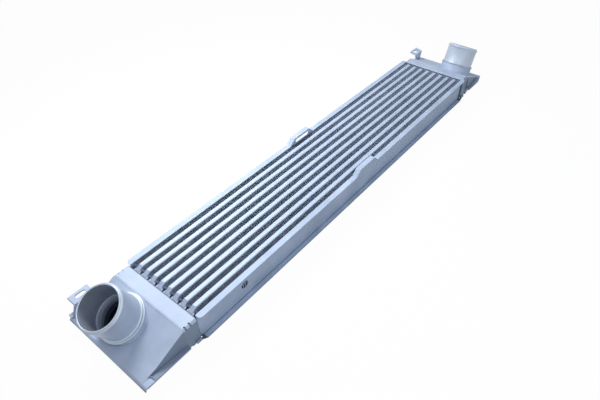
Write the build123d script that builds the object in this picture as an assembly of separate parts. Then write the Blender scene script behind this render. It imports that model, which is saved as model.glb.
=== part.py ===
from build123d import *
import math
import os

# Charge-air cooler: a core of flat tubes and corrugated fins between two side plates,
# a header tray and a two-shell tank at each end, a turned hose neck on each tank,
# and one bent mounting bracket on each tank's left flange.
# Millimetres. X runs along the core, Y across it and Z through its depth.
# Each piece is drawn with Z = 0 on the core's top face and Y = 0 on its centre line,
# end pieces at the +X end with u as the distance outward from the core's end.

# Core
core_length = 776.0
core_depth = 50.0
tube_count = 8
tube_thickness = 8.0
tube_wall = 1.0
tube_edge = 1.0
tube_neck_depth = 35.0
tube_neck_length = 4.0
tube_taper_length = 2.5
tube_reach = 1.5
fin_height = 8.0
fin_pitch = 56.0
fin_sheet = 0.4
fin_recess = 1.5
fin_end_gap = 4.5

# Side plates
plate_sheet = 1.5
plate_flange = 8.0
plate_end_gap = 0.1
tab_offset = 2.0
tab_base = 66.0
tab_top = 43.0
tab_height = 11.0
tab_slot_length = 37.0
tab_slot_width = 7.0
tab_slot_rise = 3.5
ramp_start = 5.0
ramp_length = 8.0
ramp_rise = 6.0
tail_length = 9.0
tail_width = 4.0
web_hole_radius = 6.65
web_hole_x = -299.0
dimple_radius = 7.0
dimple_x = 272.0
dimple_height = 0.7

# Headers
header_sheet = 1.6
header_corner = 3.0
header_bend = 4.5
rim_depth = 25.0
rim_overhang = 3.7
rim_inset = 2.0
slot_clearance = 0.1
collar_height = 4.0
collar_flare_side = 3.0
collar_flare_end = 0.9
collar_lip = 0.8
slit_width = 2.4
slit_length = 4.6
slit_places = (11.2, 19.0)
tooth_start = 12.0
tooth_length = 5.6
tooth_height = 4.0
tooth_reach = 1.4

# Tanks
tank_sheet = 1.6
fit_clearance = 0.1
foot_start = 8.0
parting_depth = 32.1
tank_run = 59.4
flank_overhang = 3.3
flank_taper = 3.9
flank_draft = 7.1
flange_overhang = 5.5
flange_front = 99.4
lip_radius = 4.0
lip_height = 5.5
corner_run = 26.0
corner_width = 7.0

# Necks, square to the slanted face of their tank
neck_place = 55.8
neck_rise = 54.0
neck_y_near = 12.0
neck_y_far = -27.5
boss_height_near = 8.0
boss_height_far = 16.0
boss_radius = 33.5
neck_radius = 31.5
neck_bore_radius = 29.0
neck_base_radius = 35.0
neck_base_thickness = 2.5
throat_radius = 25.0
bead_radius = 33.0
bead_half_length = 1.9
mouth_radius = 31.0
mouth_length = 3.8

# Brackets
bracket_sheet = 2.0
bracket_top = -10.0
foot_overhang = 4.0
near_leg_inset = 4.0
near_start = 56.0
near_slot_length = 16.0
near_slot_width = 7.0
near_slot_margin = 4.5
near_tab_margin = 7.0
near_leg_taper = 8.0
near_foot_tail = 3.0
far_leg_inset = 6.0
far_start = 60.0
far_tab_width = 30.0
far_tab_skew = 6.5
far_foot_width = 18.0
eye_hole_radius = 6.0
eye_margin = 2.7
eye_offset = 2.0

# Worked out
corner_share = 2 - math.sqrt(2)
half_length = core_length / 2
mid_depth = -core_depth / 2
row_pitch = tube_thickness + fin_height
stack_half_width = (tube_count * row_pitch + fin_height) / 2
plate_reach = stack_half_width + plate_sheet + plate_flange
rim_half_width = stack_half_width + plate_sheet + rim_overhang
flank_half_width = rim_half_width + flank_overhang
flange_half_width = flank_half_width + flange_overhang
foot_reach = flange_half_width + foot_overhang
near_leg_y = flange_half_width - near_leg_inset
near_tab_end = near_start + near_slot_length + 2 * near_tab_margin
near_leg_end = near_tab_end + near_leg_taper
near_foot_end = near_leg_end + near_foot_tail
bracket_reach = near_leg_y + bracket_sheet + near_slot_width + 2 * near_slot_margin
far_leg_y = flange_half_width - far_leg_inset
eye_reach = far_leg_y + bracket_sheet + 2 * (eye_hole_radius + eye_margin)
eye_y = eye_reach - eye_margin - eye_hole_radius
eye_u = far_start + far_tab_width / 2 + eye_offset
foot_half_width = rim_half_width - header_sheet - fit_clearance
foot_corner = header_corner - header_sheet * corner_share
foot_inset = rim_inset + header_sheet + fit_clearance
upper_height = parting_depth - foot_inset
lower_height = core_depth - foot_inset - parting_depth
body_start = rim_depth + fit_clearance
flange_top = tank_sheet - parting_depth
upper_slant = math.atan((upper_height - tank_sheet) / tank_run)
frame_shift = Pos(0, (flange_half_width - bracket_reach) / 2, core_depth)
far_reach = 200.0
cut_through = 10.0


def block(x0, x1, y0, y1, z0, z1):
    """Box between two corners."""
    return Pos((x0 + x1) / 2, (y0 + y1) / 2, (z0 + z1) / 2) * Box(x1 - x0, y1 - y0, z1 - z0)


def side_prism(outline, y0, y1):
    """Solid with an outline of (x, z) points, from y0 to y1."""
    line = Polyline(*[(x, y0, z) for x, z in outline], close=True)
    return extrude(make_face(line), amount=y1 - y0, dir=(0, 1, 0))


def plan_prism(outline, z0, z1):
    """Solid with an outline of (x, y) points, from z0 to z1."""
    line = Polyline(*[(x, y, z0) for x, y in outline], close=True)
    return extrude(make_face(line), amount=z1 - z0, dir=(0, 0, 1))


def cross_prism(outline, x0, x1):
    """Solid with an outline of (y, z) points, from x0 to x1."""
    line = Polyline(*[(x0, y, z) for y, z in outline], close=True)
    return extrude(make_face(line), amount=x1 - x0, dir=(1, 0, 0))


def tube_rows():
    """Centre lines of the tubes."""
    return [(i - (tube_count - 1) / 2) * row_pitch for i in range(tube_count)]


def fin_rows():
    """Centre lines of the fin strips."""
    return [(i - tube_count / 2) * row_pitch for i in range(tube_count + 1)]


def tube_outline(depth, neck_depth, end):
    """Tube seen from the side, with its thinner necks."""
    neck_start = half_length - tube_neck_length
    body_end = neck_start - tube_taper_length
    right = [(body_end, depth / 2), (neck_start, neck_depth / 2), (end, neck_depth / 2)]
    upper = [(-x, z) for x, z in reversed(right)] + right
    lower = [(x, -z) for x, z in reversed(upper)]
    return [(x, mid_depth + z) for x, z in upper + lower]


def tube(y):
    """Flat tube, open at both ends."""
    end = half_length + header_sheet + tube_reach
    half = tube_thickness / 2
    body = side_prism(tube_outline(core_depth, tube_neck_depth, end), -half, half)
    long_edges = [e for e in body.edges().filter_by(Axis.X) if e.length > half_length]
    body = chamfer(long_edges, tube_edge)
    inside = 2 * tube_wall
    outline = tube_outline(core_depth - inside, tube_neck_depth - inside, end)
    bore = side_prism(outline, tube_wall - half, half - tube_wall)
    return Pos(0, y, 0) * (body - bore)


def fin(y):
    """Corrugated strip whose crests touch the faces on both sides."""
    run = core_length - 2 * fin_end_gap
    count = 2 * round(run / fin_pitch)
    crest = (fin_height - fin_sheet) / 2
    line = [((i / count - 0.5) * run, crest * (-1) ** i) for i in range(count + 1)]
    left = [(x, w + fin_sheet / 2) for x, w in line]
    right = [(x, w - fin_sheet / 2) for x, w in reversed(line)]
    return Pos(0, y, 0) * plan_prism(left + right, fin_recess - core_depth, -fin_recess)


def plate_top_line():
    """Upper edge of a side plate, with the raised tab."""
    end = half_length - plate_end_gap
    base, top = tab_base / 2, tab_top / 2
    rise = [(tab_offset - base, 0), (tab_offset - top, tab_height)]
    fall = [(tab_offset + top, tab_height), (tab_offset + base, 0)]
    return [(-end, 0)] + rise + fall + [(end, 0)]


def plate_bottom_line():
    """Lower edge of a side plate, with the ramps and tails at its ends."""
    foot = half_length - ramp_start
    head = foot + ramp_length
    low, high = -core_depth, ramp_rise - core_depth
    right = [(foot, low), (head, high), (head + tail_length, high)]
    return [(-x, z) for x, z in reversed(right)] + right


def strip(line, rise):
    """Closed outline between a line and the same line moved by rise in Z."""
    return line + [(x, z + rise) for x, z in reversed(line)]


def side_plate(side):
    """Channel with a tab in the middle; side is 1 on the left and -1 on the right."""
    inner = stack_half_width
    end = half_length - plate_end_gap
    lower = plate_bottom_line()
    plate = side_prism(plate_top_line() + lower[::-1], inner, inner + plate_sheet)
    plate &= block(-end, end, inner, plate_reach, -core_depth, tab_height)
    plate += side_prism(strip(plate_top_line(), -plate_sheet), inner, plate_reach)
    plate += side_prism(strip(lower, plate_sheet), inner, plate_reach)
    for x in (-far_reach - end, end):
        plate -= block(x, x + far_reach, 0, plate_reach - tail_width, -core_depth, 0)
    web = Plane.XZ.offset(-inner)
    if side > 0:
        slot = SlotOverall(tab_slot_length, tab_slot_width)
        place = Pos(tab_offset, tab_slot_rise, -cut_through / 2)
        plate -= web * (place * extrude(slot, cut_through))
        return plate
    plate -= web * (Pos(web_hole_x, mid_depth, 0) * Cylinder(web_hole_radius, cut_through))
    on_web = (Align.CENTER, Align.CENTER, Align.MAX)
    dimple = Cylinder(dimple_radius, dimple_height + plate_sheet, align=on_web)
    plate += web * (Pos(dimple_x, mid_depth, 0) * dimple)
    return mirror(plate, about=Plane.XZ)


def tray_form(inset):
    """Outside of the header tray, or its inside when inset by the sheet."""
    half = rim_half_width - inset
    low, high = rim_inset - core_depth + inset, -rim_inset - inset
    form = block(inset, rim_depth, -half, half, low, high)
    form = chamfer(form.edges().filter_by(Axis.X), header_corner - inset * corner_share)
    bend_edges = form.faces().sort_by(Axis.X)[0].edges()
    if inset:
        return chamfer(bend_edges, (header_bend - inset) * corner_share)
    return fillet(bend_edges, header_bend)


def collar(y):
    """Raised lip round one tube slot, on the core's side of the sheet."""
    root = header_sheet / 2
    half, depth = tube_thickness / 2, tube_neck_depth / 2
    wide, narrow = half + collar_flare_side, half + collar_lip
    tall, short = depth + collar_flare_end, depth + collar_lip
    plan = [(root, wide), (0, wide), (-collar_height, narrow)]
    side = [(root, tall), (0, tall), (-collar_height, short)]
    plan = plan + [(x, -w) for x, w in reversed(plan)]
    side = side + [(x, -w) for x, w in reversed(side)]
    lip = plan_prism(plan, mid_depth - tall, mid_depth + tall)
    lip &= side_prism([(x, mid_depth + z) for x, z in side], -wide, wide)
    return Pos(0, y, 0) * lip


def header():
    """Pressed tray with a slot and collar for each tube."""
    tray = tray_form(0) - tray_form(header_sheet)
    for y in tube_rows():
        tray += collar(y)
    half = tube_thickness / 2 + slot_clearance
    depth = tube_neck_depth / 2 + slot_clearance
    for y in tube_rows():
        low, high = mid_depth - depth, mid_depth + depth
        tray -= block(-collar_height, header_bend, y - half, y + half, low, high)
    inner = rim_half_width - slit_length
    for side in (-1, 1):
        for u in slit_places:
            slit = block(u, u + slit_width, inner, plate_reach, -rim_inset - slit_length, 0)
            tray -= slit if side > 0 else mirror(slit, about=Plane.XZ)
        base = rim_inset - core_depth + header_corner
        outer = rim_half_width + tooth_reach
        tooth = cross_prism(
            [(outer - 2 * tooth_reach, base), (outer, base), (outer - tooth_reach, base + tooth_height),
             (outer - 2 * tooth_reach, base + tooth_height)],
            tooth_start, tooth_start + tooth_length)
        tray += tooth if side > 0 else mirror(tooth, about=Plane.XZ)
    return Pos(half_length, 0, 0) * tray


def flank_prism(inset, height):
    """Space between the tank's drafted side walls, above the parting plane."""
    taper = math.tan(math.radians(flank_taper))
    ends = (body_start - far_reach, body_start + far_reach)
    right = [(u, flank_half_width - inset - taper * (u - body_start)) for u in ends]
    plan = [(u, -w) for u, w in right] + right[::-1]
    face = make_face(Polyline(*[(u, w, 0) for u, w in plan], close=True))
    return extrude(face, amount=height, taper=flank_draft)


def tank_form(height, inset):
    """Outside of one tank shell above the parting plane, or its inside when inset."""
    slant = math.atan((height - tank_sheet) / tank_run)
    drop = inset / math.cos(slant)
    start = body_start + inset
    top = height - drop - math.tan(slant) * (start - rim_depth)
    front = rim_depth + (height - drop) / math.tan(slant)
    body = side_prism([(start, 0), (start, top), (front, 0)], -far_reach, far_reach)
    body &= flank_prism(inset, height)
    half = foot_half_width - inset
    foot = block(foot_start, start, -half, half, 0, height - inset)
    upper_edges = foot.edges().filter_by(Axis.X).group_by(Axis.Z)[-1]
    return body + chamfer(upper_edges, foot_corner - inset * corner_share / 2)


def flange(front, lipped):
    """Flange sheet on the parting plane, with the front edge rolled over if lipped."""
    start = body_start + fit_clearance
    half = flange_half_width
    if not lipped:
        return block(start, front, -half, half, 0, tank_sheet)
    bend = front - lip_radius
    sheet = block(start, bend, -half, half, 0, tank_sheet)
    axis_z = tank_sheet - lip_radius
    roll = Rot(90, 0, 0) * Cylinder(lip_radius, 2 * half)
    roll -= Rot(90, 0, 0) * Cylinder(lip_radius - tank_sheet, 2 * half)
    roll &= block(0, lip_radius, -half, half, 0, lip_radius)
    drop = block(front - tank_sheet, front, -half, half, tank_sheet - lip_height, axis_z)
    return sheet + Pos(bend, 0, axis_z) * roll + drop


def flange_corner():
    """What is cut off the far flange's right front corner."""
    slope = corner_width / corner_run
    start, end = flange_front - corner_run, flange_front + cut_through
    edge = -flange_half_width
    outside = edge - cut_through
    outline = [(start, edge), (start, outside), (end, outside), (end, edge + slope * (end - start))]
    return Pos(half_length, 0, 0) * plan_prism(outline, -far_reach, far_reach)


def neck_frame(y, lift):
    """Place on the neck's axis, lift above the slanted face, with Z along the axis."""
    z = upper_height - math.tan(upper_slant) * (neck_place - rim_depth)
    normal = Vector(math.sin(upper_slant), 0, math.cos(upper_slant))
    origin = Vector(neck_place, y, z) + normal * lift
    return Plane(origin=origin, x_dir=(0, 1, 0), z_dir=normal)


def turned(outline, frame):
    """Solid turned from an outline of (radius, height) points."""
    face = make_face(Polyline(*[(r, 0, h) for r, h in outline], close=True))
    return frame.location * revolve(face, Axis.Z)


def post(y, radius, low, high):
    """Round post square to the slanted face, between two heights above it, above the parting plane."""
    body = Cylinder(radius, high - low, align=(Align.CENTER, Align.CENTER, Align.MIN))
    body = neck_frame(y, low).location * body
    return body & block(0, far_reach, -far_reach, far_reach, 0, far_reach)


def tank_upper(neck_y, boss_height):
    """Upper shell with its slanted face, boss and throat, drafted walls and rolled flange."""
    form = tank_form(upper_height, 0) + flange(flange_front, True)
    form -= tank_form(upper_height, tank_sheet)
    form += post(neck_y, boss_radius, -tank_sheet, boss_height)
    form -= post(neck_y, throat_radius, -upper_height, boss_height)
    return Pos(half_length, 0, -parting_depth) * form


def tank_lower():
    """Lower shell, shallower than the upper one and brazed under its flange."""
    form = tank_form(lower_height, 0) + flange(flange_front - lip_radius, False)
    shell = mirror(form - tank_form(lower_height, tank_sheet), about=Plane.XY)
    return Pos(half_length, 0, -parting_depth) * shell


def neck(y, boss_height):
    """Turned hose neck with a bead at its mouth and a ring at its base."""
    bead = neck_rise - boss_height
    outline = [
        (neck_bore_radius, 0),
        (neck_base_radius, 0),
        (neck_base_radius, neck_base_thickness),
        (neck_radius, neck_base_thickness),
        (neck_radius, bead - bead_half_length),
        (bead_radius, bead),
        (mouth_radius, bead + mouth_length),
        (neck_bore_radius, bead + mouth_length),
    ]
    return Pos(half_length, 0, -parting_depth) * turned(outline, neck_frame(y, boss_height))


def bracket_near():
    """Bent sheet on the flange: foot, leg and a tab with a slot."""
    leg, sheet = near_leg_y, bracket_sheet
    section = [
        (foot_reach, flange_top), (leg, flange_top), (leg, bracket_top), (bracket_reach, bracket_top),
        (bracket_reach, bracket_top - sheet), (leg + sheet, bracket_top - sheet),
        (leg + sheet, flange_top + sheet), (foot_reach, flange_top + sheet),
    ]
    side = [
        (near_start, flange_top), (near_start, bracket_top), (near_tab_end, bracket_top),
        (near_leg_end, flange_top + sheet), (near_foot_end, flange_top + sheet), (near_foot_end, flange_top),
    ]
    body = cross_prism(section, near_start, near_foot_end) & side_prism(side, leg, bracket_reach)
    slot = extrude(SlotOverall(near_slot_length, near_slot_width), cut_through)
    middle = (leg + sheet + bracket_reach) / 2
    body -= Pos((near_start + near_tab_end) / 2, middle, bracket_top - cut_through / 2) * slot
    return Pos(half_length, 0, 0) * body


def bracket_far():
    """Bent sheet on the flange: foot, tapered leg and a skewed plate with a round eye."""
    leg, sheet = far_leg_y, bracket_sheet
    section = [
        (foot_reach, flange_top), (leg, flange_top), (leg, bracket_top), (eye_reach, bracket_top),
        (eye_reach, bracket_top - sheet), (leg + sheet, bracket_top - sheet),
        (leg + sheet, flange_top + sheet), (foot_reach, flange_top + sheet),
    ]
    start, end = far_start, far_start + far_tab_width
    foot_start = (start + end - far_foot_width) / 2
    foot_end = foot_start + far_foot_width
    reach = end + far_tab_skew
    side = [
        (foot_start, flange_top), (foot_start, flange_top + sheet), (start, bracket_top - sheet),
        (start, bracket_top), (reach, bracket_top), (reach, bracket_top - sheet), (end, bracket_top - sheet),
        (foot_end, flange_top + sheet), (foot_end, flange_top),
    ]
    plan = [(start, leg), (end, leg), (reach, eye_reach), (start + far_tab_skew, eye_reach)]
    body = cross_prism(section, start, reach) & side_prism(side, leg, eye_reach)
    body &= plan_prism(plan, flange_top, bracket_top)
    body -= Pos(eye_u, eye_y, bracket_top) * Cylinder(eye_hole_radius, cut_through)
    return Pos(half_length, 0, 0) * body


def save(name, piece):
    """Write one piece, standing on the side plates and centred over its base."""
    export_step(frame_shift * piece, f"parts/{name}.step")


def near(piece):
    """The same piece at the -X end."""
    return mirror(piece, about=Plane.YZ)


os.makedirs("parts", exist_ok=True)
for number, row in enumerate(tube_rows(), 1):
    save(f"tube_{number}", tube(row))
for number, row in enumerate(fin_rows(), 1):
    save(f"fin_{number}", fin(row))
save("side_plate_left", side_plate(1))
save("side_plate_right", side_plate(-1))
save("header_far", header())
save("header_near", near(header()))
save("tank_upper_far", tank_upper(neck_y_far, boss_height_far) - flange_corner())
save("tank_upper_near", near(tank_upper(neck_y_near, boss_height_near)))
save("tank_lower_far", tank_lower() - flange_corner())
save("tank_lower_near", near(tank_lower()))
save("neck_far", neck(neck_y_far, boss_height_far))
save("neck_near", near(neck(neck_y_near, boss_height_near)))
save("bracket_far", bracket_far())
save("bracket_near", near(bracket_near()))
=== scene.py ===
import math

import bmesh
import bpy
from mathutils import Matrix, Vector


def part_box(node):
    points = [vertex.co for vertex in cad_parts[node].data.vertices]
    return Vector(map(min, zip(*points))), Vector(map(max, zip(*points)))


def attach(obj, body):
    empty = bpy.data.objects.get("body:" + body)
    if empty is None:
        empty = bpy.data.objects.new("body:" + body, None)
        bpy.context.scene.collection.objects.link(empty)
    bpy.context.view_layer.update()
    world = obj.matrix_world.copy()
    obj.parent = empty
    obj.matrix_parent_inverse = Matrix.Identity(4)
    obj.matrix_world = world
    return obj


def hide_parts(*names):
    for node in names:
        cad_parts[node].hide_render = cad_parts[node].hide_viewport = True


# Metres, in the part's own frame: X along the core, Y across it, Z up through its depth.

# Camera, as the photograph was taken
photo_width = 600
focal_pixels = 491.2694
view_azimuth = math.radians(-50.2491)
view_elevation = math.radians(42.5386)
view_roll = math.radians(-1.0761)
view_target = Vector((-0.1331045, -0.0432539, 0.050))
view_distance = 0.793432
sensor_width = 36.0
clip_start = 0.01

# Core, and the plane that all but the necks and brackets is centred on
core_half_length = 0.388
core_depth = 0.050
core_middle_y = -0.007
tube_count = 8
tube_pitch = 0.016

# Fin strips
fin_wave = 0.004
fin_columns_a_wave = 4
fin_metal = 0.0002
fin_margin = 0.0001

# Slopes at a tube's ends: where they start, where they end and how far they are drawn out
shoulder_place = 0.3820
shoulder_half_run = 0.0007
shoulder_band = 0.0011
shoulder_ease = 0.003
shoulder_foot = 0.384
shoulder_foot_depth = 0.0175
shoulder_foot_band = 0.0012
shoulder_lift = 0.002

# Headers: collars round the tubes, and the tray's free edge
collar_reach = 0.0035
collar_draw = 0.002
collar_spread = 0.0007
collar_lift = 0.0015
rim_depth = 0.025
rim_top = 0.048
rim_fairing = 0.003
rim_drop = 0.0014

# End tanks
parting_height = 0.0179
upper_height = 0.0284
tank_run = 0.0594
tank_sheet = 0.0016
tank_slope = (upper_height - tank_sheet) / tank_run
slant_end = 0.0844
flange_top = 0.0195
flank_half_width = 0.07226
flank_foot = 0.0008
crease_blend = 0.0175
crease_steps = 7
boss_radius = 0.0335
boss_flare = 0.004
boss_flare_steps = 1

# Side plates' top flanges
plate_end = 0.3879
plate_reach = 0.0775
plate_corner = 0.005
plate_corner_steps = 5

# The two ends: side of X, the neck's place along Y and the height of the boss under it
ends = {"near": (-1, 0.005, 0.008), "far": (1, -0.0345, 0.016)}

# Necks. An outline is pairs of radius and height: over the boss for the foot and the throat, and
# over the bead's middle for the mouth.
neck_segments = 96
neck_place = 0.0558
neck_rise = 0.054
lift_over_boss = 0.00002
bore_radius = 0.029
throat_radius = 0.0251
ledge_height = 0.0112
bore_shade_top = 0.0559
foot_outline = (
    (throat_radius, 0), (0.0346, 0), (0.0350, 0.0005), (0.0344, 0.0011), (0.0328, 0.0014),
    (0.0333, 0.0022), (0.0331, 0.0032), (0.0321, 0.0038), (0.0316, 0.0043), (0.0315, 0.0050),
)
mouth_outline = (
    (0.0315, -0.0024), (0.0319, -0.0016), (0.03265, -0.0007), (0.03295, 0), (0.03265, 0.0007),
    (0.0316, 0.0017), (0.0310, 0.0024), (0.0310, 0.0034), (0.0305, 0.0038), (0.0295, 0.0038),
    (bore_radius, 0.0033),
)
throat_outline = (
    (bore_radius, 0.0115), (0.0287, ledge_height), (0.0278, ledge_height), (0.0274, 0.0106),
    (0.0255, 0.0066), (throat_radius, 0.0058),
)

# Edges, as the press and the brazing leave them
edge_segments = 2
sheet_edge = 0.0004
pressed_edges = {"header": 0.0006, "tank_upper": 0.0006, "tank_lower": 0.0006, "bracket": 0.0005}
sharp_angle = math.radians(28)
smooth_angle = math.radians(38)
flat_angle = math.radians(0.6)
flat_face_weight = 100
merge_distance = 0.000005

# How near a point has to lie to what it is compared with
tight = 0.0001
snug = 0.0002
loose = 0.0003

# Metal: clouds of tone and gloss, fine grain, and painted shade that darkens the crevices
cloud_scale = 22.0
cloud_detail = 4.0
cloud_roughness = 0.6
cloud_stops = (0.3, 0.7)
gloss_spread = 0.14
grain_detail = 3.0
grain_roughness = 0.65
grain_depth = 0.0003
crevice_shade_reach = 0.006
crevice_shade_samples = 8
crevice_shade_openness = (0.2, 0.75)
crevice_shade_tone = 0.25

# Faces painted with a darker metal as shade, by how far their normals lean to an axis and by their
# places
around_axis = 0.2
throat_margin = 0.0004
core_side_shade_slope = 0.6
lower_bend_top = 0.008
lower_bend_slopes = (0.1, 0.98)
wall_shade_slope = 0.5
wall_shade_place = 0.062

# Studio. The floor lies just clear of the flanges that rest on it.
floor_size = 12
floor_gap = 0.0002
floor_tone = (0.42, 0.43, 0.45, 1)
floor_roughness = 0.9
floor_seen_tone = (0.95, 0.95, 0.95, 1)
floor_glow = 0.97
fill_tone = (0.80, 0.88, 1.0, 1)
fill_strength = 0.30
white = (1, 1, 1, 1)


def select_only(piece):
    """Makes one object the only selected and the active one."""
    bpy.ops.object.select_all(action="DESELECT")
    piece.select_set(True)
    bpy.context.view_layer.objects.active = piece


def apply_place(piece):
    """Puts the object's place into its mesh."""
    select_only(piece)
    bpy.ops.object.transform_apply(location=True, rotation=True, scale=True)


def apply_modifiers(piece):
    """Applies every modifier of the piece, in order."""
    select_only(piece)
    for modifier in list(piece.modifiers):
        bpy.ops.object.modifier_apply(modifier=modifier.name)


def smooth(piece):
    """Shades the piece smooth, with its sharp edges kept."""
    select_only(piece)
    bpy.ops.object.shade_smooth_by_angle(angle=smooth_angle)


def select_vertices(piece, test):
    """Selects the vertices that pass the test, in edit mode."""
    bpy.ops.mesh.select_mode(type="VERT")
    bpy.ops.mesh.select_all(action="DESELECT")
    mesh = bmesh.from_edit_mesh(piece.data)
    for vertex in mesh.verts:
        vertex.select = test(vertex.co)
    mesh.select_flush_mode()
    bmesh.update_edit_mesh(piece.data)


def select_edges(piece, test):
    """Selects the edges whose two ends pass the test, in edit mode, and says how many they are."""
    bpy.ops.mesh.select_mode(type="EDGE")
    bpy.ops.mesh.select_all(action="DESELECT")
    mesh = bmesh.from_edit_mesh(piece.data)
    for edge in mesh.edges:
        edge.select = all(test(vertex.co) for vertex in edge.verts)
    bmesh.update_edit_mesh(piece.data)
    return sum(edge.select for edge in mesh.edges)


def move_selected(x=0, y=0, z=0):
    """Moves what is selected, in edit mode."""
    bpy.ops.transform.translate(value=(x, y, z))


def cut_across(place, normal):
    """Cuts the whole mesh along a plane, in edit mode, and keeps both sides."""
    bpy.ops.mesh.select_all(action="SELECT")
    bpy.ops.mesh.bisect(plane_co=place, plane_no=normal)


def round_edges(piece, test, width, steps):
    """Rounds the edges whose two ends pass the test, in edit mode."""
    if select_edges(piece, test):
        bpy.ops.mesh.bevel(offset=width, segments=steps, affect="EDGES", clamp_overlap=True)


def bevelled_copy(node, name, width, shape=None):
    """Own copy of a CAD node, reshaped if need be, with its edges rounded as the metal's are."""
    piece = bpy.data.objects.new(name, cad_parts[node].data.copy())
    bpy.context.scene.collection.objects.link(piece)
    select_only(piece)
    bpy.ops.object.mode_set(mode="EDIT")
    bpy.ops.mesh.select_all(action="SELECT")
    bpy.ops.mesh.remove_doubles(threshold=merge_distance)
    bpy.ops.mesh.dissolve_limited(angle_limit=flat_angle)
    if shape:
        shape(piece)
    bpy.ops.object.mode_set(mode="OBJECT")
    bevel = piece.modifiers.new("edges", "BEVEL")
    bevel.width = width
    bevel.segments = edge_segments
    bevel.limit_method = "ANGLE"
    bevel.angle_limit = sharp_angle
    bevel.use_clamp_overlap = True
    apply_modifiers(piece)
    smooth(piece)
    even = piece.modifiers.new("flat_faces", "WEIGHTED_NORMAL")
    even.keep_sharp = True
    even.weight = flat_face_weight
    apply_modifiers(piece)
    return piece


def stand_for(piece, node, metal):
    """Gives the piece its metal and puts it in the place of a CAD node."""
    piece.data.materials.clear()
    piece.data.materials.append(metal)
    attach(piece, "root")
    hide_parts(node)


def paint_faces(piece, metal, test):
    """Gives a second metal to the faces that pass the test and still have the first."""
    piece.data.materials.append(metal)
    painted = len(piece.data.materials) - 1
    for face in piece.data.polygons:
        if face.material_index == 0 and test(face):
            face.material_index = painted


def add_node(tree, kind, **values):
    """Adds a shader node and sets its properties and inputs."""
    node = tree.nodes.new(kind)
    for key, value in values.items():
        if key in node.inputs:
            node.inputs[key].default_value = value
        else:
            setattr(node, key, value)
    return node


def add_range(tree, **values):
    """Adds a map range node; an underscore in a value's name stands for a space."""
    node = tree.nodes.new("ShaderNodeMapRange")
    for key, value in values.items():
        node.inputs[key.replace("_", " ")].default_value = value
    return node


def colour_ramp(tree, dark, light):
    """Ramp from the dark to the light tone over the clouds."""
    ramp = tree.nodes.new("ShaderNodeValToRGB")
    for element, position, colour in zip(ramp.color_ramp.elements, cloud_stops, (dark, light)):
        element.position = position
        element.color = (*colour, 1)
    return ramp


def aluminium(name, dark, light, rough, metallic, grain_scale, bump):
    """Brazed or drawn aluminium: cloudy colour, painted shade in the crevices, uneven gloss and a fine
    grain.
    """
    material = bpy.data.materials.new(name)
    material.use_nodes = True
    tree = material.node_tree
    shader = tree.nodes["Principled BSDF"]
    shader.inputs["Metallic"].default_value = metallic
    place = add_node(tree, "ShaderNodeTexCoord")
    clouds = add_node(
        tree, "ShaderNodeTexNoise", Scale=cloud_scale, Detail=cloud_detail, Roughness=cloud_roughness)
    grain = add_node(
        tree, "ShaderNodeTexNoise", Scale=grain_scale, Detail=grain_detail, Roughness=grain_roughness)
    tint = colour_ramp(tree, dark, light)
    # Painted shade: the colour darkens where ambient occlusion finds the metal hemmed in by nearby
    # surfaces.
    openness = add_node(
        tree, "ShaderNodeAmbientOcclusion", samples=crevice_shade_samples, Distance=crevice_shade_reach)
    shut, open_air = crevice_shade_openness
    shade_range = add_range(tree, From_Min=shut, From_Max=open_air, To_Min=crevice_shade_tone)
    shaded_tint = add_node(tree, "ShaderNodeVectorMath", operation="SCALE")
    gloss = add_range(tree, To_Min=rough - gloss_spread, To_Max=rough + gloss_spread)
    relief = add_node(tree, "ShaderNodeBump", Strength=bump, Distance=grain_depth)
    link = tree.links.new
    link(place.outputs["Object"], clouds.inputs["Vector"])
    link(place.outputs["Object"], grain.inputs["Vector"])
    link(clouds.outputs["Fac"], tint.inputs["Fac"])
    link(tint.outputs["Color"], shaded_tint.inputs[0])
    link(openness.outputs["AO"], shade_range.inputs["Value"])
    link(shade_range.outputs["Result"], shaded_tint.inputs["Scale"])
    link(shaded_tint.outputs["Vector"], shader.inputs["Base Color"])
    link(clouds.outputs["Fac"], gloss.inputs["Value"])
    link(gloss.outputs["Result"], shader.inputs["Roughness"])
    link(grain.outputs["Fac"], relief.inputs["Height"])
    link(relief.outputs["Normal"], shader.inputs["Normal"])
    return material


def neck_axis(sign, neck_y):
    """Foot of a neck's axis on the slanted face, and the direction square to that face."""
    slant = math.atan(tank_slope)
    foot_z = parting_height + upper_height - tank_slope * (neck_place - rim_depth)
    foot = Vector((sign * (core_half_length + neck_place), neck_y, foot_z))
    return foot, Vector((sign * math.sin(slant), 0, math.cos(slant)))


def from_middle(co):
    """Distance from the core's middle plane."""
    return abs(co.y - core_middle_y)


def past_core(co):
    """Distance beyond the core's end."""
    return abs(co.x) - core_half_length


def ease_shoulders(piece):
    """Draws out the slopes at a tube's ends, top and bottom."""
    half_depth = core_depth / 2

    def from_half_depth(co):
        return abs(co.z - half_depth)

    for side in (-1, 1):
        select_vertices(piece, lambda co: abs(side * co.x - shoulder_place) < shoulder_half_run
                        and from_half_depth(co) > half_depth - shoulder_band)
        move_selected(x=-side * shoulder_ease)
        for up in (-1, 1):
            select_vertices(piece, lambda co: abs(side * co.x - shoulder_foot) < snug
                            and abs(up * (co.z - half_depth) - shoulder_foot_depth) < shoulder_foot_band)
            move_selected(x=side * shoulder_lift / 2, z=up * shoulder_lift)


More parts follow.
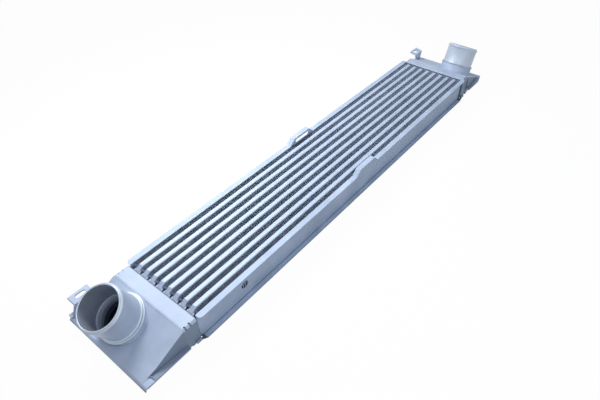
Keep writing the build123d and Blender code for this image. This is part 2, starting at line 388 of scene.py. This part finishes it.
def shape_header(piece):
    """Draws the collars out along the tubes and fairs the tray's free edge into the tank."""
    rim_end = core_half_length + rim_depth

    def on_lip(co):
        return -past_core(co) > collar_reach

    def beside_row(co):
        return (co.y - core_middle_y + tube_pitch * tube_count / 2) % tube_pitch - tube_pitch / 2

    def on_rim_end(co):
        return abs(abs(co.x) - rim_end) < snug and abs(co.z - rim_top) < snug

    for side in (-1, 1):
        select_vertices(piece, lambda co: on_lip(co) and side * beside_row(co) > 0)
        move_selected(y=side * collar_spread)
        select_vertices(piece, lambda co: on_lip(co) and side * (co.z - core_depth / 2) > 0)
        move_selected(z=side * collar_lift)
    for side in (-1, 1):
        select_vertices(piece, lambda co: on_lip(co) and side * co.x > 0)
        move_selected(x=-side * collar_draw)
    for side in (-1, 1):
        cut_across((side * (rim_end - rim_fairing), 0, 0), (1, 0, 0))
    select_vertices(piece, on_rim_end)
    move_selected(z=-rim_drop)


def fill_crease(piece, sign):
    """Fills the crease before the flange with a wide hollow curve, as the press leaves it."""
    crease = core_half_length + slant_end
    for step in range(-crease_steps, crease_steps + 1):
        cut_across((sign * (crease + crease_blend * step / crease_steps), 0, 0), (1, 0, 0))
    for out in (flank_half_width, flank_half_width + flank_foot):
        for side in (-1, 1):
            select_vertices(piece, lambda co: abs(co.x) > crease - tight)
            bpy.ops.mesh.bisect(plane_co=(0, core_middle_y + side * out, 0), plane_no=(0, 1, 0))
    mesh = bmesh.from_edit_mesh(piece.data)
    for vertex in mesh.verts:
        past = abs(vertex.co.x) - crease
        height = vertex.co.z - flange_top + tank_slope * min(past, 0)
        between = from_middle(vertex.co) < flank_half_width + tight
        if abs(past) < crease_blend and between and -snug < height < boss_flare:
            vertex.co.z += tank_slope * (crease_blend - abs(past)) ** 2 / (4 * crease_blend)
    bmesh.update_edit_mesh(piece.data)


def blend_tank(sign, neck_y):
    """Returns what runs a tank's slanted face smoothly into its flange and its boss."""
    foot, normal = neck_axis(sign, neck_y)

    def at_boss_foot(co):
        height = (co - foot).dot(normal)
        radius = ((co - foot) - height * normal).length
        on_faces = abs(height) < loose or abs(co.z - flange_top) < tight
        return abs(radius - boss_radius) < snug and on_faces

    def shape(piece):
        round_edges(piece, at_boss_foot, boss_flare, boss_flare_steps)
        fill_crease(piece, sign)
    return shape


def round_plate_ends(piece):
    """Rounds the corners of a side plate's top flange."""
    def at_corner(co):
        at_end = abs(abs(co.x) - plate_end) < snug
        return at_end and abs(from_middle(co) - plate_reach) < snug and co.z > rim_top

    round_edges(piece, at_corner, plate_corner, plate_corner_steps)


def fin_strip(number):
    """Corrugated fin strip with flat crests against the tubes on both sides."""
    low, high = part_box(f"fin_{number}")
    run, rise = high.x - low.x, high.z - low.z
    columns = fin_columns_a_wave * round(run / fin_wave)
    crest = (high.y - low.y - fin_metal) / 2 - fin_margin
    bpy.ops.object.select_all(action="DESELECT")
    bpy.ops.mesh.primitive_grid_add(
        x_subdivisions=columns, y_subdivisions=1, size=1,
        location=(low + high) / 2, rotation=(math.pi / 2, 0, 0))
    piece = bpy.context.object
    piece.name = f"fin_strip_{number}"
    piece.scale = (run, rise, 1)
    apply_place(piece)
    step = run / columns
    half_wave = fin_columns_a_wave // 2
    bpy.ops.object.mode_set(mode="EDIT")
    for side, first in ((1, 0), (-1, half_wave)):
        select_vertices(
            piece, lambda co: (round((co.x - low.x) / step) - first) % fin_columns_a_wave < half_wave)
        move_selected(y=side * crest)
    bpy.ops.object.mode_set(mode="OBJECT")
    sheet = piece.modifiers.new("metal", "SOLIDIFY")
    sheet.thickness = fin_metal
    sheet.offset = 0
    apply_modifiers(piece)
    return piece


def turned_ring(name, outline):
    """Ring turned round Z from an outline of radii and heights that starts at height 0 and closes."""
    bpy.ops.object.select_all(action="DESELECT")
    radius, height = outline[0]
    bpy.ops.mesh.primitive_circle_add(vertices=neck_segments, radius=radius, location=(0, 0, 0))
    piece = bpy.context.object
    piece.name = name
    bpy.ops.object.mode_set(mode="EDIT")
    bpy.ops.mesh.select_all(action="SELECT")
    for next_radius, next_height in outline[1:] + outline[:1]:
        bpy.ops.mesh.extrude_region_move(
            TRANSFORM_OT_translate={"value": (0, 0, next_height - height)})
        grow = next_radius / radius
        bpy.ops.transform.resize(value=(grow, grow, 1), center_override=(0, 0, next_height))
        radius, height = next_radius, next_height
    bpy.ops.mesh.select_all(action="SELECT")
    bpy.ops.mesh.remove_doubles(threshold=merge_distance)
    bpy.ops.mesh.normals_make_consistent(inside=False)
    bpy.ops.object.mode_set(mode="OBJECT")
    return piece


def hose_neck(node, sign, neck_y, boss_height):
    """Turned neck on its boss: ring at its foot, bead at its mouth, stepped throat inside."""
    bead = neck_rise - boss_height
    mouth = tuple((radius, bead + height) for radius, height in mouth_outline)
    piece = turned_ring("hose_" + node, foot_outline + mouth + throat_outline)
    foot, normal = neck_axis(sign, neck_y)
    place = foot + normal * (boss_height + lift_over_boss)
    turn = normal.to_track_quat("Z", "Y").to_matrix().to_4x4()
    piece.matrix_world = Matrix.Translation(place) @ turn
    apply_place(piece)
    smooth(piece)
    return piece


def shade_neck_bore(piece, sign, neck_y, boss_height):
    """Paints a neck's bore and throat, but not the ledge between them, with a darker metal as painted
    shade.
    """
    foot, normal = neck_axis(sign, neck_y)

    def inside(face):
        height = (face.center - foot).dot(normal)
        inner = (face.center - foot - normal * height).length < bore_radius + tight
        on_ledge = abs(height - boss_height - ledge_height) < loose
        return inner and not on_ledge and height < bore_shade_top

    paint_faces(piece, neck_bore_shade, inside)


def shade_tank_inside(piece, sign, neck_y):
    """Paints the faces that look into a tank or its throat with the dark metal, as painted shade."""
    foot, normal = neck_axis(sign, neck_y)
    middle = Vector((sign * (core_half_length + neck_place), core_middle_y, parting_height))

    def inside(face):
        spoke = face.center - foot
        around = abs(face.normal.dot(normal)) < around_axis
        in_throat = (spoke - spoke.dot(normal) * normal).length < throat_radius + throat_margin
        in_length = rim_depth < past_core(face.center) < slant_end
        in_plan = in_length and from_middle(face.center) < flank_half_width
        looks_in = face.normal.dot(middle - face.center) > 0
        return around and in_throat or in_plan and looks_in

    paint_faces(piece, tank_inside, inside)


def shade_core_side(piece, sign):
    """Paints shade on a header's side towards the core, up to the middle of its bend."""
    paint_faces(piece, tank_inside, lambda face: -sign * face.normal.x > core_side_shade_slope)


def shade_lower_bend(piece):
    """Paints shade into the hollow bend between a side plate's web and its bottom flange."""
    upright, flat = lower_bend_slopes
    paint_faces(piece, tank_inside, lambda face: face.center.z < lower_bend_top
                and upright < face.normal.z < flat)


def shade_side_walls(piece):
    """Paints a header's or tank's drawn side walls and side flanges with a darker metal, as painted
    shade.
    """
    def drawn(face):
        out = from_middle(face.center)
        steep = abs(face.normal.z) < wall_shade_slope and out > wall_shade_place
        in_length = rim_depth < past_core(face.center) < slant_end
        on_flange = in_length and out > flank_half_width and face.normal.z > 0
        return steep or on_flange

    paint_faces(piece, wall_shade_metal, drawn)


def add_area(name, place, aim, size, power, colour):
    """Soft square lamp turned towards a point."""
    lamp = bpy.data.lights.new(name, "AREA")
    lamp.size = size
    lamp.energy = power
    lamp.color = colour
    holder = bpy.data.objects.new(name, lamp)
    holder.location = place
    holder.rotation_euler = (Vector(aim) - Vector(place)).to_track_quat("-Z", "Y").to_euler()
    bpy.context.scene.collection.objects.link(holder)


def seen_directly(tree):
    """1 for rays from the camera, a glossy surface or glass, 0 for light that falls on things."""
    path = add_node(tree, "ShaderNodeLightPath")
    glossy = add_node(tree, "ShaderNodeMath", operation="MAXIMUM")
    clear = add_node(tree, "ShaderNodeMath", operation="MAXIMUM")
    tree.links.new(path.outputs["Is Camera Ray"], glossy.inputs[0])
    tree.links.new(path.outputs["Is Glossy Ray"], glossy.inputs[1])
    tree.links.new(glossy.outputs[0], clear.inputs[0])
    tree.links.new(path.outputs["Is Transmission Ray"], clear.inputs[1])
    return clear.outputs[0]


def make_world():
    """White surroundings that light the object at a plain, slightly cool level."""
    world = bpy.data.worlds.new("studio")
    bpy.context.scene.world = world
    world.use_nodes = True
    tree = world.node_tree
    tree.nodes.clear()
    fill = add_node(tree, "ShaderNodeBackground", Color=fill_tone, Strength=fill_strength)
    bright = add_node(tree, "ShaderNodeBackground", Color=white, Strength=1.0)
    mix = add_node(tree, "ShaderNodeMixShader")
    out = add_node(tree, "ShaderNodeOutputWorld")
    tree.links.new(seen_directly(tree), mix.inputs[0])
    tree.links.new(fill.outputs[0], mix.inputs[1])
    tree.links.new(bright.outputs[0], mix.inputs[2])
    tree.links.new(mix.outputs[0], out.inputs["Surface"])


def make_floor():
    """Pale floor that reads white and keeps a faint shadow of the object."""
    bpy.ops.object.select_all(action="DESELECT")
    bpy.ops.mesh.primitive_plane_add(size=floor_size, location=(0, 0, -floor_gap))
    floor = bpy.context.object
    floor.name = "studio_floor"
    material = bpy.data.materials.new("pale_floor")
    material.use_nodes = True
    tree = material.node_tree
    shader = tree.nodes["Principled BSDF"]
    shader.inputs["Base Color"].default_value = floor_tone
    shader.inputs["Roughness"].default_value = floor_roughness
    pale = add_node(tree, "ShaderNodeBsdfDiffuse", Color=floor_seen_tone)
    glow = add_node(tree, "ShaderNodeEmission", Color=white, Strength=1.0)
    seen = add_node(tree, "ShaderNodeMixShader", Fac=floor_glow)
    mix = add_node(tree, "ShaderNodeMixShader")
    tree.links.new(pale.outputs[0], seen.inputs[1])
    tree.links.new(glow.outputs[0], seen.inputs[2])
    tree.links.new(seen_directly(tree), mix.inputs[0])
    tree.links.new(shader.outputs[0], mix.inputs[1])
    tree.links.new(seen.outputs[0], mix.inputs[2])
    tree.links.new(mix.outputs[0], tree.nodes["Material Output"].inputs["Surface"])
    floor.data.materials.append(material)


def make_camera():
    """Camera at the photograph's place, with its lens and roll."""
    cos_a, sin_a = math.cos(view_azimuth), math.sin(view_azimuth)
    cos_e, sin_e = math.cos(view_elevation), math.sin(view_elevation)
    forward = Vector((-sin_a * cos_e, cos_a * cos_e, -sin_e))
    level = Vector((cos_a, sin_a, 0))
    over = level.cross(forward)
    right = math.cos(view_roll) * level + math.sin(view_roll) * over
    up = math.cos(view_roll) * over - math.sin(view_roll) * level
    lens = bpy.data.cameras.new("photo_camera")
    lens.sensor_width = sensor_width
    lens.lens = sensor_width * focal_pixels / photo_width
    lens.clip_start = clip_start
    camera = bpy.data.objects.new("photo_camera", lens)
    bpy.context.scene.collection.objects.link(camera)
    turn = Matrix((right, up, -forward)).transposed().to_4x4()
    camera.matrix_world = Matrix.Translation(view_target - forward * view_distance) @ turn
    bpy.context.scene.camera = camera


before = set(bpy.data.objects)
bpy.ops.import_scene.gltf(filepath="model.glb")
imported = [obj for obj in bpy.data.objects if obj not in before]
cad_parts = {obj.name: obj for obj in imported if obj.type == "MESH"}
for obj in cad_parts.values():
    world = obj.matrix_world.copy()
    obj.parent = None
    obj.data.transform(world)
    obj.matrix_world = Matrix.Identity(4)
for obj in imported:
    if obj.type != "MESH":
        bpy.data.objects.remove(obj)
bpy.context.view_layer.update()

tube_metal = aluminium(
    "tube_aluminium", dark=(0.46, 0.55, 0.71), light=(0.55, 0.64, 0.81),
    rough=0.56, metallic=0.22, grain_scale=900.0, bump=0.15)
fin_finish = aluminium(
    "fin_aluminium", dark=(0.46, 0.56, 0.75), light=(0.60, 0.71, 0.92),
    rough=0.58, metallic=0.15, grain_scale=1200.0, bump=0.2)
sheet_metal = aluminium(
    "sheet_aluminium", dark=(0.44, 0.53, 0.69), light=(0.60, 0.69, 0.86),
    rough=0.58, metallic=0.12, grain_scale=700.0, bump=0.15)
plate_metal = aluminium(
    "plate_aluminium", dark=(0.42, 0.52, 0.68), light=(0.57, 0.67, 0.85),
    rough=0.58, metallic=0.12, grain_scale=700.0, bump=0.15)
# Painted shade: darker metal for the side walls and side flanges that stand in shadow.
wall_shade_metal = aluminium(
    "wall_shade_aluminium", dark=(0.20, 0.26, 0.37), light=(0.29, 0.36, 0.48),
    rough=0.55, metallic=0.15, grain_scale=700.0, bump=0.15)
neck_metal = aluminium(
    "neck_aluminium", dark=(0.48, 0.55, 0.66), light=(0.62, 0.70, 0.82),
    rough=0.46, metallic=0.4, grain_scale=900.0, bump=0.2)
# Painted shade: dark metal for faces in shadow, inside the tanks and throats, on a header's side towards
# the core and in a side plate's lower bend.
tank_inside = aluminium(
    "tank_inside_aluminium", dark=(0.06, 0.08, 0.12), light=(0.10, 0.13, 0.18),
    rough=0.60, metallic=0.1, grain_scale=500.0, bump=0.2)
# Painted shade: darker metal for a neck's bore and throat, where little light reaches.
neck_bore_shade = aluminium(
    "neck_bore_shade_aluminium", dark=(0.36, 0.40, 0.48), light=(0.48, 0.53, 0.63),
    rough=0.42, metallic=0.4, grain_scale=500.0, bump=0.3)

for number in range(1, tube_count + 1):
    tube = bevelled_copy(f"tube_{number}", f"flat_tube_{number}", sheet_edge, ease_shoulders)
    stand_for(tube, f"tube_{number}", tube_metal)
for number in range(1, tube_count + 2):
    strip = fin_strip(number)
    stand_for(strip, f"fin_{number}", fin_finish)
for end, (sign, neck_y, _) in ends.items():
    shapes = {"tank_upper": blend_tank(sign, neck_y), "header": shape_header}
    for kind, width in pressed_edges.items():
        shell = bevelled_copy(f"{kind}_{end}", f"pressed_{kind}_{end}", width, shapes.get(kind))
        stand_for(shell, f"{kind}_{end}", sheet_metal)
        if kind.startswith("tank"):
            shade_tank_inside(shell, sign, neck_y)
        if kind == "header":
            shade_core_side(shell, sign)
        if kind in ("header", "tank_upper"):
            shade_side_walls(shell)
for side in ("left", "right"):
    plate = bevelled_copy(
        f"side_plate_{side}", f"folded_side_plate_{side}", sheet_edge, round_plate_ends)
    stand_for(plate, f"side_plate_{side}", plate_metal)
    shade_lower_bend(plate)
for end, (sign, neck_y, boss_height) in ends.items():
    neck = hose_neck(f"neck_{end}", sign, neck_y, boss_height)
    stand_for(neck, f"neck_{end}", neck_metal)
    shade_neck_bore(neck, sign, neck_y, boss_height)

make_floor()
make_world()
make_camera()
add_area(
    "key", place=(-0.11, 0.38, 0.63), aim=(-0.10, 0, 0.05),
    size=0.35, power=4.45, colour=(0.98, 0.99, 1.0))
add_area(
    "right_fill", place=(-0.34, -0.66, 0.58), aim=(-0.15, 0, 0.02),
    size=0.6, power=1.4, colour=(0.93, 0.97, 1.0))
add_area(
    "far_fill", place=(0.25, 0.40, 0.60), aim=(0.25, 0, 0.03),
    size=0.4, power=0.9, colour=(0.95, 0.98, 1.0))
bpy.context.scene.view_settings.view_transform = "Standard"
